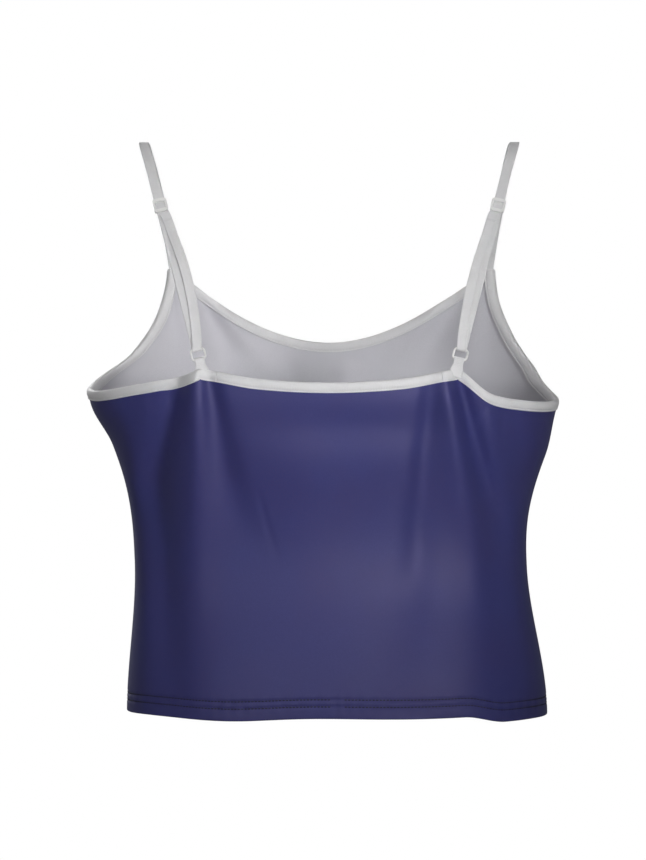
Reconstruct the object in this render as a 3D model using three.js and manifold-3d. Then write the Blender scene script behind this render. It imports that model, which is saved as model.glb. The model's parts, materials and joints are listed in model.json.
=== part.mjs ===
// A cropped cheerleading top with thin adjustable shoulder straps, in the shape that it takes when worn.
// Millimetres. X runs to the wearer's left, -Y to the wearer's front and Z up. The origin lies in the
// hem's plane, on the centre line and level with the side seams.
import * as THREE from 'three';
import Module from 'manifold-3d';
import { mergeVertices } from 'three/addons/utils/BufferGeometryUtils.js';

const { clamp, smoothstep, lerp } = THREE.MathUtils;

// Body form
const bodyRoundness = 2.3; // power of the superellipse that every level section follows
const hemHalfWidth = 151;
const waistHalfWidth = 141;
const chestHalfWidth = 168;
const waistHeight = 105;
const chestHeight = 232;
const chestFlare = 1.4; // how late the side flares out between waist and chest
const hemFrontDepth = 100;
const waistFrontDepth = 92;
const bustFrontDepth = 117;
const neckFrontDepth = 115;
const hemBackDepth = 95;
const waistBackDepth = 80;
const chestBackDepth = 100;
const bustHeight = 188;
const bustHalfSpacing = 78;
const bustFullness = 8;
const bustSpread = 42;

// Edges of the panels
const frontNeckHeight = 263; // raw edge at the centre front
const frontNeckRise = 45;
const neckCurve = 1.9;
const peakInnerX = 105;
const peakOuterX = 120.4;
const peakHeight = 316;
const underarmHeight = 226;
const frontArmholeDrop = 32;
const frontArmholeReach = 72;
const frontArmholeLift = 6;
const backNeckHeight = 228.3;
const backNeckRise = 8.2;
const tabX = 90;
const bindingJoinX = 77; // where the back binding meets the armhole bindings
const backArmholeDrop = 15;
const backArmholeReach = 60;
const backArmholeSag = 8;
const armholeLean = 1.6; // how far the front armhole leans in below the peak
const tabTangent = 0.84; // share of the tab's girth where the back armhole's first handle stands

// Cloth
const panelThick = 0.7;
const liningThick = 0.5;
const layerGap = 0.3; // between two layers that touch
const seamGap = 0.3;
const hemFold = 15.2;
const hemStep = 0.5;
const bindingHeight = 6.2;
const bindingThick = 0.7;
const elasticWidth = 4.2;
const elasticThick = 0.6;
const elasticSet = 1; // from the raw edge to the elastic
const allowanceWidth = 6.2; // overlocked seam allowance at each side
const allowanceThick = 1;

// Straps and their hardware
const strapWidth = 7;
const strapThick = 0.8;
const fitGap = 0.3;
const apexX = 133;
const apexHeight = 404.6;
const apexFlat = 12; // length of the level stretch on the shoulder
const frontStrapX = 117;
const frontStrapDirection = [4, 5, 31]; // on the left, as the strap leaves the front peak
const frontReach = 34; // curve handles of the stretch over the front of the shoulder
const shoulderDrop = 13;
const shoulderReach = 16; // curve handles of the stretch behind the shoulder
const sliderX = 119;
const sliderY = 45;
const sliderHeight = 356;
const straightAboveSlider = 25;
const tailBow = 3; // how far the turned-back stretch bows to the inner side
const loopLength = 14; // from the ring's upper bar to the end of the strap's outer stretch
const tabThick = 0.8;
const tabLength = 8;
const tabLean = 1.6;
const tabCornerDrop = 0.12; // how far the leaning tab's lower corner hangs, as a share of its width
const ringWireRadius = 0.75;
const ringClear = 0.5; // between the ring's side bars and the webbing's edges
const ringHeight = 8.1; // between the centre lines of its two level bars
const ringCornerRadius = 1.05;
const sliderHalfHeight = 5.25;
const sliderBarDepth = 1.15;
const sliderEndBar = 1.75;
const sliderCentreBar = 1.8;
const sliderRim = 1.2;
const sliderCornerRadius = 2;
const sliderCornerPull = 0.3; // how far the corner curves' handles stand in from the sides
const sliderTaper = 0.1; // each side's middle stands out from its ends by this

const liningInset = panelThick + layerGap;
const stackDepth = liningInset + liningThick;
const elasticInset = stackDepth + layerGap;
const bindingDepth = elasticInset + elasticThick + layerGap;
const xAxis = new THREE.Vector3(1, 0, 0);
const zAxis = new THREE.Vector3(0, 0, 1);

const knit = new THREE.MeshStandardMaterial({ color: 0x3c3c6e, roughness: 0.35, metalness: 0 });
const lining = new THREE.MeshStandardMaterial({ color: 0xbcbac6, roughness: 0.8, metalness: 0 });
const whiteCloth = new THREE.MeshStandardMaterial({ color: 0xe4e8e0, roughness: 0.75, metalness: 0 });
const elastic = new THREE.MeshStandardMaterial({ color: 0xd8d8cf, roughness: 0.9, metalness: 0 });
const plastic = new THREE.MeshStandardMaterial({ color: 0xf0f2ec, roughness: 0.3, metalness: 0 });

const top = new THREE.Group();

function addMesh(name, geometry, material) {
  const mesh = new THREE.Mesh(geometry, material);
  mesh.name = name;
  top.add(mesh);
  return mesh;
}

// Level sections of the body form

function halfWidthAt(z) {
  const climb = clamp((z - waistHeight) / (chestHeight - waistHeight), 0, 1) ** chestFlare;
  const lower = lerp(hemHalfWidth, waistHalfWidth, smoothstep(z, 0, waistHeight));
  return lower + (chestHalfWidth - waistHalfWidth) * smoothstep(climb, 0, 1);
}

function frontDepthAt(z) {
  const lower = lerp(hemFrontDepth, waistFrontDepth, smoothstep(z, 0, waistHeight));
  const middle = (bustFrontDepth - waistFrontDepth) * smoothstep(z, waistHeight, bustHeight);
  const upper = (neckFrontDepth - bustFrontDepth) * smoothstep(z, bustHeight, frontNeckHeight);
  return lower + middle + upper;
}

function backDepthAt(z) {
  const lower = lerp(hemBackDepth, waistBackDepth, smoothstep(z, 0, waistHeight));
  return lower + (chestBackDepth - waistBackDepth) * smoothstep(z, waistHeight, chestHeight);
}

function sectionPoint(angle, halfWidth, depth) {
  const power = 2 / bodyRoundness;
  return [halfWidth * Math.cos(angle) ** power, depth * Math.sin(angle) ** power];
}

// Girth is the length along the chest section from the side seam, positive to the front.
function girthTable(depth) {
  const steps = 400;
  const angles = [0];
  const girths = [0];
  let last = sectionPoint(0, chestHalfWidth, depth);
  for (let i = 1; i <= steps; i += 1) {
    const angle = (Math.PI / 2) * Math.min(i / steps, 1 - 1e-9);
    const next = sectionPoint(angle, chestHalfWidth, depth);
    angles.push(angle);
    girths.push(girths[i - 1] + Math.hypot(next[0] - last[0], next[1] - last[1]));
    last = next;
  }
  return { angles, girths, total: girths[steps] };
}

const frontTable = girthTable(neckFrontDepth);
const backTable = girthTable(chestBackDepth);

function lookUp(from, to, value) {
  const next = from.findIndex((entry) => entry >= value);
  if (next <= 0) {
    return next === 0 ? to[0] : to[to.length - 1];
  }
  const share = (value - from[next - 1]) / (from[next] - from[next - 1]);
  return lerp(to[next - 1], to[next], share);
}

function girthAtX(x, table) {
  const angle = Math.acos((x / chestHalfWidth) ** (bodyRoundness / 2));
  return lookUp(table.angles, table.girths, angle);
}

// A point of the body form: side is 1 on the left and -1 on the right, inset is depth into the cloth.
function bodyPoint(side, girth, z, inset) {
  const front = girth > 0;
  const table = front ? frontTable : backTable;
  const angle = lookUp(table.girths, table.angles, Math.abs(girth));
  const depth = front ? frontDepthAt(z) : backDepthAt(z);
  const [x, y] = sectionPoint(angle, halfWidthAt(z) - inset, depth - inset);
  const acrossBust = (x - bustHalfSpacing) / bustSpread;
  const upBust = (z - bustHeight) / bustSpread;
  const bust = front ? bustFullness * Math.exp(-acrossBust * acrossBust - upBust * upBust) : 0;
  const frontFade = smoothstep(Math.abs(girth), 0, bustSpread);
  return new THREE.Vector3(side * x, front ? -y - bust * frontFade : y, z);
}

// Raw edges of one side, as girth and height

const armholeSteps = 14;

function spread(count, make) {
  return Array.from({ length: count + 1 }, (unused, i) => make(i / count));
}

function bezierEdge(points, count) {
  const curve = new THREE.CubicBezierCurve(...points.map(([u, z]) => new THREE.Vector2(u, z)));
  return spread(count, (share) => curve.getPoint(share));
}

function neckEdge(table, fromX, toX, count, heightAt) {
  return spread(count, (share) => {
    const x = lerp(fromX, toX, share);
    return new THREE.Vector2(girthAtX(x, table), heightAt(x));
  });
}

const frontNeckAt = (x) => frontNeckHeight + frontNeckRise * (x / peakInnerX) ** neckCurve;
const backNeckAt = (x) => backNeckHeight + backNeckRise * (x / tabX) ** neckCurve;
const peakGirth = girthAtX(peakOuterX, frontTable);
const tabGirth = girthAtX(tabX, backTable);
const backNeckTop = backNeckAt(tabX);

const frontNeck = neckEdge(frontTable, 0, peakInnerX, 6, frontNeckAt);
const peakEdge = neckEdge(frontTable, peakInnerX, peakOuterX, 2, (x) => {
  const share = (x - peakInnerX) / (peakOuterX - peakInnerX);
  return lerp(frontNeckAt(peakInnerX), peakHeight, share);
});
const frontArmhole = bezierEdge([
  [peakGirth, peakHeight],
  [peakGirth - armholeLean, peakHeight - frontArmholeDrop],
  [frontArmholeReach, underarmHeight + frontArmholeLift],
  [0, underarmHeight],
], armholeSteps);
const backNeck = neckEdge(backTable, 0, bindingJoinX, 5, backNeckAt);
const backTabEdge = neckEdge(backTable, bindingJoinX, tabX, 1, backNeckAt);
const backArmhole = bezierEdge([
  [tabGirth, backNeckTop],
  [tabGirth * tabTangent, backNeckTop - backArmholeDrop],
  [backArmholeReach, underarmHeight - backArmholeSag],
  [0, underarmHeight],
], armholeSteps);

// Solids lofted through sections. A section is two rails of equal length, the second one reversed.

function loft(sections, closed = false) {
  const ring = sections[0].length;
  const index = [];
  const quad = (a, b, c, d) => index.push(a, b, c, a, c, d);
  const crossed = (a, b, c, d) => index.push(a, b, d, b, c, d); // so that nested skins share their diagonals
  const spans = closed ? sections.length : sections.length - 1;
  for (let i = 0; i < spans; i += 1) {
    const near = i * ring;
    const far = ((i + 1) % sections.length) * ring;
    for (let j = 0; j < ring; j += 1) {
      const k = (j + 1) % ring;
      const split = j < ring / 2 ? quad : crossed;
      split(near + j, far + j, far + k, near + k);
    }
  }
  if (!closed) {
    const last = (sections.length - 1) * ring;
    for (let i = 0; i < ring / 2 - 1; i += 1) {
      const [a, b, c, d] = [i, i + 1, ring - 2 - i, ring - 1 - i];
      quad(a, b, c, d);
      quad(last + d, last + c, last + b, last + a);
    }
  }
  const points = sections.flat();
  const geometry = new THREE.BufferGeometry().setFromPoints(points);
  geometry.setIndex(facesOut(points, index) ? index : index.reverse());
  geometry.computeVertexNormals();
  return geometry;
}

function facesOut(points, index) {
  let volume = 0;
  for (let i = 0; i < index.length; i += 3) {
    const [a, b, c] = [points[index[i]], points[index[i + 1]], points[index[i + 2]]];
    volume += a.dot(b.clone().cross(c));
  }
  return volume > 0;
}

// Panels and linings

const bodyRows = 10;
const rowCrowding = 1.4; // rows lie closer together towards the bound edges

function panelSection(side, girth, rows) {
  const outer = rows.map(([z, from]) => bodyPoint(side, girth, z, from));
  const inner = rows.map(([z, , to]) => bodyPoint(side, girth, z, to));
  return outer.concat(inner.reverse());
}

function bothSides(edge, sectionOf) {
  const left = edge.map((station) => sectionOf(1, station));
  const right = edge.map((station) => sectionOf(-1, station)).reverse();
  return left.concat(right.slice(1));
}

function panelStations(edge, direction) {
  return edge.map((station, i) => {
    const girth = i === 0 ? seamGap / 2 : station.x;
    return new THREE.Vector2(direction * girth, station.y);
  });
}

function climb(fromZ, toZ, count, from, to) {
  return spread(count, (share) => [lerp(toZ, fromZ, (1 - share) ** rowCrowding), from, to]);
}

function makePanel(name, stations) {
  const sections = bothSides(stations, (side, station) => {
    const hem = [[0, 0, stackDepth], [hemFold, 0, stackDepth]];
    const body = climb(hemFold + hemStep, station.y, bodyRows, 0, panelThick);
    return panelSection(side, station.x, hem.concat(body));
  });
  addMesh(name, loft(sections), knit);
}

function makeLining(name, stations) {
  const sections = bothSides(stations, (side, station) => {
    const rows = climb(hemFold + 2 * hemStep, station.y, bodyRows, liningInset, stackDepth);
    return panelSection(side, station.x, rows);
  });
  addMesh(name, loft(sections), lining);
}

const reversed = (edge) => [...edge].reverse();
const frontEdge = [...reversed(frontArmhole), ...reversed(peakEdge).slice(1), ...reversed(frontNeck).slice(1)];
const backEdge = [...reversed(backArmhole), ...reversed(backTabEdge).slice(1), ...reversed(backNeck).slice(1)];
const frontStations = panelStations(frontEdge, 1);
const backStations = panelStations(backEdge, -1);
makePanel('front_panel', frontStations);
makePanel('back_panel', backStations);
makeLining('front_lining', frontStations);
makeLining('back_lining', backStations);

// Bindings and the elastic inside them, swept along an edge. Set is the distance in from the raw edge.

function edgeFrames(edge) {
  return edge.map((station, i) => {
    const before = edge[Math.max(i - 1, 0)];
    const after = edge[Math.min(i + 1, edge.length - 1)];
    const along = after.clone().sub(before).normalize();
    return { station, inward: new THREE.Vector2(-along.y, along.x) };
  });
}

function edgeSection(side, frame, outline) {
  return outline.map(([set, inset]) => {
    const place = frame.station.clone().addScaledVector(frame.inward, set);
    return bodyPoint(side, place.x, place.y, inset);
  });
}

const outerFace = -layerGap - bindingThick;
const innerFace = bindingDepth + bindingThick;
const bindingOutline = [
  [bindingHeight, outerFace],
  [outerFace, outerFace],
  [outerFace, innerFace],
  [bindingHeight, innerFace],
  [bindingHeight, bindingDepth],
  [-layerGap, bindingDepth],
  [-layerGap, -layerGap],
  [bindingHeight, -layerGap],
];
const elasticOutline = [
  [elasticSet, elasticInset],
  [elasticSet + elasticWidth, elasticInset],
  [elasticSet + elasticWidth, elasticInset + elasticThick],
  [elasticSet, elasticInset + elasticThick],
];

function makeNeckEdging(name, edge, direction) {
  const signed = edge.map((station) => new THREE.Vector2(direction * station.x, station.y));
  const path = [signed[1].clone().setX(2 * signed[0].x - signed[1].x), ...signed];
  const frames = edgeFrames(path).slice(1).reverse();
  frames.forEach((frame) => frame.inward.multiplyScalar(Math.sign(-frame.inward.y)));
  const sweep = (outline) => loft(bothSides(frames, (side, frame) => edgeSection(side, frame, outline)));
  addMesh(`${name}_binding`, sweep(bindingOutline), whiteCloth);
  addMesh(`${name}_elastic`, sweep(elasticOutline), elastic);
}

function makeArmholeEdging(name, side) {
  const back = [...backTabEdge, ...backArmhole.slice(1)].map(({ x, y }) => new THREE.Vector2(-x, y));
  back[0].x += seamGap;
  const front = reversed(frontArmhole).slice(1);
  const frames = edgeFrames([...back, ...front]);
  frames.forEach((frame) => frame.inward.negate());
  const sweep = (outline) => loft(frames.map((frame) => edgeSection(side, frame, outline)));
  addMesh(`${name}_armhole_binding`, sweep(bindingOutline), whiteCloth);
  addMesh(`${name}_armhole_elastic`, sweep(elasticOutline), elastic);
}

makeNeckEdging('front_neck', frontNeck, 1);
makeNeckEdging('back_neck', backNeck, -1);

function makeSideSeam(name, side) {
  const inset = stackDepth + 2 * layerGap;
  const sections = spread(9, (share) => {
    const z = lerp(hemStep, underarmHeight - bindingHeight - 2 * hemStep, share);
    const place = (girth, depth) => bodyPoint(side, girth, z, depth);
    return [
      place(-seamGap - allowanceWidth, inset),
      place(-seamGap, inset),
      place(-seamGap, inset + allowanceThick),
      place(-seamGap - allowanceWidth, inset + allowanceThick),
    ];
  });
  addMesh(`${name}_side_seam`, loft(sections), lining);
}

// Straps

const wasm = await Module();
wasm.setup();

function toManifold(geometry) {
  const bare = geometry.clone();
  bare.deleteAttribute('normal');
  bare.deleteAttribute('uv');
  const merged = mergeVertices(bare);
  const vertProperties = new Float32Array(merged.attributes.position.array);
  const triVerts = new Uint32Array(merged.index.array);
  return new wasm.Manifold(new wasm.Mesh({ numProp: 3, vertProperties, triVerts }));
}

function fromManifold(solid) {
  const mesh = solid.getMesh();
  const geometry = new THREE.BufferGeometry();
  geometry.setAttribute('position', new THREE.BufferAttribute(mesh.vertProperties, 3));
  geometry.setIndex(new THREE.BufferAttribute(mesh.triVerts, 1));
  geometry.computeVertexNormals();
  return geometry;
}

// The frame of a strap: along runs up it, across lies in its width and out points off the body.
function strapFrame(along) {
  const across = xAxis.clone().addScaledVector(along, -along.x).normalize();
  return { along, across, out: along.clone().cross(across) };
}

function offset(point, ...steps) {
  const moved = point.clone();
  steps.forEach(([direction, distance]) => moved.addScaledVector(direction, distance));
  return moved;
}

function ribbonSection({ centre, across, out, width = strapWidth }) {
  const corner = (u, v) => offset(centre, [across, (u * width) / 2], [out, (v * strapThick) / 2]);
  return [corner(-1, -1), corner(1, -1), corner(1, 1), corner(-1, 1)];
}

function strapPlan(side) {
  const bindingTop = layerGap + bindingThick + fitGap + tabCornerDrop * strapWidth;
  const tabBase = bodyPoint(side, -girthAtX(tabX - tabLean, backTable), backNeckTop + bindingTop, stackDepth / 2);
  const lowerBar = tabBase.clone().add(new THREE.Vector3(side * tabLean, 0, tabLength));
  const slider = new THREE.Vector3(side * sliderX, sliderY, sliderHeight);
  const frame = strapFrame(slider.clone().sub(lowerBar).normalize());
  const upperBar = offset(lowerBar, [frame.along, ringHeight]);
  const peakRise = strapWidth / 2 + 2 * fitGap;
  const peakSeat = bodyPoint(side, girthAtX(frontStrapX, frontTable), peakHeight + peakRise, stackDepth / 2);
  const apex = new THREE.Vector3(side * apexX, 0, apexHeight - strapThick / 2);
  return { side, tabBase, lowerBar, upperBar, slider, frame, peakSeat, apex };
}

function curveStations(points, count) {
  const curve = new THREE.CubicBezierCurve3(...points);
  return spread(count, (share) => {
    return { centre: curve.getPoint(share), ...strapFrame(curve.getTangent(share)) };
  });
}

function levelStation(apex, y) {
  return { centre: apex.clone().setY(y), across: xAxis, out: zAxis };
}

function makeStrap(name, plan) {
  const { side, frame, slider, upperBar, peakSeat, apex } = plan;
  const [lean, back, up] = frontStrapDirection;
  const frontUp = new THREE.Vector3(side * lean, back, up).normalize();
  const front = curveStations([
    peakSeat,
    offset(peakSeat, [frontUp, frontReach]),
    apex.clone().setY(-apexFlat / 2 - frontReach),
    apex.clone().setY(-apexFlat / 2),
  ], 12);
  const roundEnd = [15, 40, 65].map((degrees) => {
    const angle = THREE.MathUtils.degToRad(degrees);
    const centre = offset(peakSeat, [frontUp, (-strapWidth / 2) * Math.cos(angle)]);
    return { ...strapFrame(frontUp), centre, width: strapWidth * Math.sin(angle) };
  });
  const straightTop = offset(slider, [frame.along, straightAboveSlider]);
  const shoulder = curveStations([
    straightTop,
    offset(straightTop, [frame.along, shoulderDrop]),
    apex.clone().setY(apexFlat / 2 + shoulderReach),
    apex.clone().setY(apexFlat / 2),
  ], 7).reverse().slice(1);
  const straight = spread(6, (share) => {
    const end = offset(upperBar, [frame.along, loopLength]);
    return { centre: straightTop.clone().lerp(end, share), ...frame };
  }).slice(1);
  const level = [levelStation(apex, -apexFlat / 2), levelStation(apex, apexFlat / 2)];
  const stations = [...roundEnd, ...front.slice(0, -1), ...level, ...shoulder, ...straight];
  addMesh(`${name}_strap`, loft(alignRibbon(stations).map(ribbonSection)), whiteCloth);
}

// Turns each station's frame so that neighbouring widths and faces point the same way.
function alignRibbon(stations) {
  let last = stations[0];
  return stations.map((station) => {
    const across = station.across.dot(last.across) < 0 ? station.across.clone().negate() : station.across;
    const out = station.out.dot(last.out) < 0 ? station.out.clone().negate() : station.out;
    last = { ...station, across, out };
    return last;
  });
}

function makeTail(name, { side, frame, upperBar, slider }) {
  const turnRadius = ringWireRadius + fitGap + strapThick / 2;
  const reach = upperBar.distanceTo(slider) - sliderHalfHeight - fitGap;
  const rest = strapThick + fitGap;
  const at = (height, outward, bow, out) => {
    const steps = [[frame.along, height], [frame.out, outward], [frame.across, -side * bow]];
    return { centre: offset(upperBar, ...steps), across: frame.across, out };
  };
  const down = spread(3, (share) => {
    return at(lerp(loopLength - fitGap, 0, share), -turnRadius * smoothstep(share, 0, 1), 0, frame.out);
  });
  const round = spread(8, (share) => {
    const angle = Math.PI * share;
    const out = frame.out.clone().multiplyScalar(Math.cos(angle)).addScaledVector(frame.along, Math.sin(angle));
    return at(-turnRadius * Math.sin(angle), -turnRadius * Math.cos(angle), 0, out);
  }).slice(1);
  const up = spread(10, (share) => {
    const outward = lerp(turnRadius, rest, smoothstep(share, 0, 0.15));
    return at(reach * share, outward, tailBow * Math.sin(Math.PI * share), frame.out.clone().negate());
  }).slice(1);
  const stations = [...down, ...round, ...up];
  addMesh(`${name}_strap_tail`, loft(stations.map(ribbonSection)), whiteCloth);
}

// Ring, tab and slider

function makeRing(name, { frame, lowerBar, upperBar }) {
  const centre = lowerBar.clone().add(upperBar).multiplyScalar(0.5);
  const halfWidth = strapWidth / 2 + ringClear + ringWireRadius;
  const sections = [];
  for (let corner = 0; corner < 4; corner += 1) {
    const signX = corner === 0 || corner === 3 ? 1 : -1;
    const signY = corner < 2 ? 1 : -1;
    for (let step = 0; step <= 3; step += 1) {
      const angle = (corner + step / 3) * (Math.PI / 2);
      const outward = offset(new THREE.Vector3(), [frame.across, Math.cos(angle)], [frame.along, Math.sin(angle)]);
      const bend = offset(
        centre,
        [frame.across, signX * (halfWidth - ringCornerRadius)],
        [frame.along, signY * (ringHeight / 2 - ringCornerRadius)],
        [outward, ringCornerRadius],
      );
      sections.push(spread(8, (share) => {
        const turn = share * 2 * Math.PI;
        const steps = [[outward, ringWireRadius * Math.cos(turn)], [frame.out, ringWireRadius * Math.sin(turn)]];
        return offset(bend, ...steps);
      }).slice(1));
    }
  }
  addMesh(`${name}_ring`, loft(sections, true), plastic);
}

function placeFlat(mesh, centre, x, y) {
  const z = x.clone().cross(y);
  mesh.quaternion.setFromRotationMatrix(new THREE.Matrix4().makeBasis(x, y, z));
  mesh.position.copy(centre);
}

function makeTab(name, { frame, lowerBar, tabBase }) {
  const rise = lowerBar.clone().sub(tabBase);
  const upward = rise.addScaledVector(frame.across, -rise.dot(frame.across));
  const length = upward.length();
  upward.normalize();
  const halfStem = tabThick + fitGap / 2;
  const outerRadius = ringWireRadius + fitGap + tabThick;
  const stemAngle = Math.asin(halfStem / outerRadius);
  const outline = new THREE.Shape();
  outline.moveTo(-halfStem, -length);
  outline.lineTo(halfStem, -length);
  outline.absarc(0, 0, outerRadius, stemAngle - Math.PI / 2, 1.5 * Math.PI - stemAngle, false);
  const eye = new THREE.Path().absarc(0, 0, ringWireRadius + fitGap, 0, 2 * Math.PI, true);
  outline.holes.push(eye);
  const geometry = new THREE.ExtrudeGeometry(outline, { depth: strapWidth, bevelEnabled: false, curveSegments: 7 });
  geometry.translate(0, 0, -strapWidth / 2);
  const mesh = addMesh(`${name}_ring_tab`, geometry, whiteCloth);
  placeFlat(mesh, lowerBar, upward.clone().cross(frame.across).normalize(), upward);
}

function box(width, height, fromZ, toZ) {
  return new THREE.BoxGeometry(width, height, toZ - fromZ).translate(0, 0, (fromZ + toZ) / 2);
}

function sliderSolid() {
  const windowWidth = strapWidth + 2 * fitGap;
  const halfWidth = windowWidth / 2 + sliderRim;
  const shoulder = halfWidth - sliderCornerRadius;
  const endHalf = sliderHalfHeight - sliderCornerRadius;
  const outline = new THREE.Shape();
  outline.moveTo(-shoulder, -sliderHalfHeight);
  outline.lineTo(shoulder, -sliderHalfHeight);
  outline.quadraticCurveTo(halfWidth - sliderCornerPull, -sliderHalfHeight, halfWidth - sliderTaper, -endHalf);
  outline.quadraticCurveTo(halfWidth + sliderCornerPull, 0, halfWidth - sliderTaper, endHalf);
  outline.quadraticCurveTo(halfWidth - sliderCornerPull, sliderHalfHeight, shoulder, sliderHalfHeight);
  outline.lineTo(-shoulder, sliderHalfHeight);
  outline.quadraticCurveTo(-halfWidth + sliderCornerPull, sliderHalfHeight, -halfWidth + sliderTaper, endHalf);
  outline.quadraticCurveTo(-halfWidth - sliderCornerPull, 0, -halfWidth + sliderTaper, -endHalf);
  outline.quadraticCurveTo(-halfWidth + sliderCornerPull, -sliderHalfHeight, -shoulder, -sliderHalfHeight);
  const slot = strapThick / 2 + fitGap;
  const halfDepth = slot + sliderBarDepth;
  const body = new THREE.ExtrudeGeometry(outline, { depth: 2 * halfDepth, bevelEnabled: false, curveSegments: 5 });
  body.translate(0, 0, -halfDepth);
  const window = box(windowWidth, 2 * (sliderHalfHeight - sliderEndBar), -2 * halfDepth, 2 * halfDepth);
  const underEnds = box(windowWidth, 3 * sliderHalfHeight, -2 * halfDepth, slot);
  const centreBar = box(windowWidth + sliderRim, sliderCentreBar, -halfDepth, -slot);
  const cut = toManifold(body).subtract(toManifold(window)).subtract(toManifold(underEnds));
  return fromManifold(cut.add(toManifold(centreBar)));
}

function makeSlider(name, { frame, slider }) {
  const mesh = addMesh(`${name}_slider`, sliderSolid(), plastic);
  placeFlat(mesh, slider, frame.across.clone().negate(), frame.along);
}

for (const [name, side] of [['left', 1], ['right', -1]]) {
  const plan = strapPlan(side);
  makeArmholeEdging(name, side);
  makeSideSeam(name, side);
  makeStrap(name, plan);
  makeTail(name, plan);
  makeSlider(name, plan);
  makeRing(name, plan);
  makeTab(name, plan);
}

export default top;
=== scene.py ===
"""A cropped cheerleading top with thin adjustable straps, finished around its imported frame.

Lengths are metres. X runs to the wearer's left, -Y to the wearer's front and Z up from the hem.
"""
import json
import math

import bpy
import numpy as np
from mathutils import Matrix, Vector


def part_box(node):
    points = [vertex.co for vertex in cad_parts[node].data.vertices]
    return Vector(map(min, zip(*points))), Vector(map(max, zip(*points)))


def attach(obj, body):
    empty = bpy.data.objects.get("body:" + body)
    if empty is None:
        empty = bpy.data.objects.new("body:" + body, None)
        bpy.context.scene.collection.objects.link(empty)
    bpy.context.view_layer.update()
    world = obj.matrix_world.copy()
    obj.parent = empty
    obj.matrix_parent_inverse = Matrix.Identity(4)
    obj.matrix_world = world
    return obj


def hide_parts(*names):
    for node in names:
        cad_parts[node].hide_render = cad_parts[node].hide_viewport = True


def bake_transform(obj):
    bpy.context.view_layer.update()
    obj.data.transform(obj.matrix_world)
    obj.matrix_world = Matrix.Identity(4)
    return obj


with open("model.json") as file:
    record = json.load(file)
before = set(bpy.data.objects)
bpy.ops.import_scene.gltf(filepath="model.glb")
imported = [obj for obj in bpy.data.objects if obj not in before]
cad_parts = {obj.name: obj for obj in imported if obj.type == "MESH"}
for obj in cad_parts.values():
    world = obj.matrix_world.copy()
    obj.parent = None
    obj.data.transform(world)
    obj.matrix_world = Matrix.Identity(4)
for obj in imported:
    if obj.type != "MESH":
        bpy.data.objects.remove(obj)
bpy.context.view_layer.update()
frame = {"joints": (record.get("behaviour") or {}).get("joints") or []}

bl_info = {
    "name": "Cheer top",
    "version": (1, 0, 0),
    "blender": (4, 5, 0),
    "location": "View3D > Sidebar > Cheer top",
    "description": "Builds the cloth, straps and fittings of a cheerleading top around its frame",
    "category": "Add Mesh",
}

MM = 0.001
SIDES = (("left", 1), ("right", -1))
ENDS = (("back", False), ("front", True))
JOINTS = {joint["name"]: joint for joint in frame["joints"]}
SHELL_MAP = "ClothMap"


# ---------------------------------------------------------------- sizes and colours


def length(name, description, millimetres):
    return bpy.props.FloatProperty(
        name=name, description=description, default=millimetres * MM, unit="LENGTH", precision=4
    )


def number(name, description, default):
    return bpy.props.FloatProperty(name=name, description=description, default=default)


def colour(name, description, default):
    return bpy.props.FloatVectorProperty(
        name=name, description=description, default=default, subtype="COLOR", size=3, min=0, max=1
    )


class CheerTopForm(bpy.types.PropertyGroup):
    """The shape that the top takes when it is worn."""

    roundness: number("Roundness", "Power of the superellipse that each level section follows", 2.3)
    hem_half_width: length("Hem half width", "Centre line to side at the hem", 151)
    waist_half_width: length("Waist half width", "Centre line to side at the waist", 141)
    chest_half_width: length("Chest half width", "Centre line to side under the arm", 168)
    waist_height: length("Waist height", "Hem to the narrowest level", 105)
    chest_height: length("Chest height", "Hem to the widest level", 232)
    chest_flare: number("Chest flare", "How late the side flares out above the waist", 1.4)
    hem_front_depth: length("Hem front depth", "Side seam plane to the front at the hem", 100)
    waist_front_depth: length("Waist front depth", "Side seam plane to the front at the waist", 92)
    bust_front_depth: length("Bust front depth", "Side seam plane to the front at the bust", 117)
    neck_front_depth: length("Neck front depth", "Side seam plane to the front at the neckline", 115)
    hem_back_depth: length("Hem back depth", "Side seam plane to the back at the hem", 95)
    waist_back_depth: length("Waist back depth", "Side seam plane to the back at the waist", 80)
    chest_back_depth: length("Chest back depth", "Side seam plane to the back at its edge", 100)
    bust_height: length("Bust height", "Hem to the fullest level of the front", 188)
    bust_half_spacing: length("Bust spacing", "Centre line to the fullest point", 78)
    bust_fullness: length("Bust fullness", "How far the bust stands out of the section", 8)
    bust_spread: length("Bust spread", "Reach of the bust's fullness", 42)
    front_neck_height: length("Front neck height", "Hem to the raw edge at the centre front", 263)
    front_neck_rise: length("Front neck rise", "Rise of the neckline to the reference width", 45)
    front_neck_reference: length("Front neck reference", "Half width at which the rise is reached", 105)
    neck_curve: number("Neck curve", "Power of both neckline curves", 1.9)
    peak_inner: length("Peak inner", "Centre line to the inner corner of the front peak", 116)
    peak_outer: length("Peak outer", "Centre line to the outer corner of the front peak", 120.4)
    peak_height: length("Peak height", "Hem to the outer corner of the front peak", 316)
    underarm_height: length("Underarm height", "Hem to the raw edge at the side seam", 226)
    back_neck_height: length("Back neck height", "Hem to the raw edge at the centre back", 228.3)
    back_neck_rise: length("Back neck rise", "Rise of the back edge to the ring tabs", 8.2)
    tab_place: length("Tab place", "Centre line to a ring tab", 90)
    binding_join: length("Binding join", "Centre line to the overlap in the back binding", 77)
    askew: length("Askew", "How far the left side hangs above the middle and the right side below", 5.2)
    drift: length("Drift", "How far the hem drifts to the wearer's right", 5.8)


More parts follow.
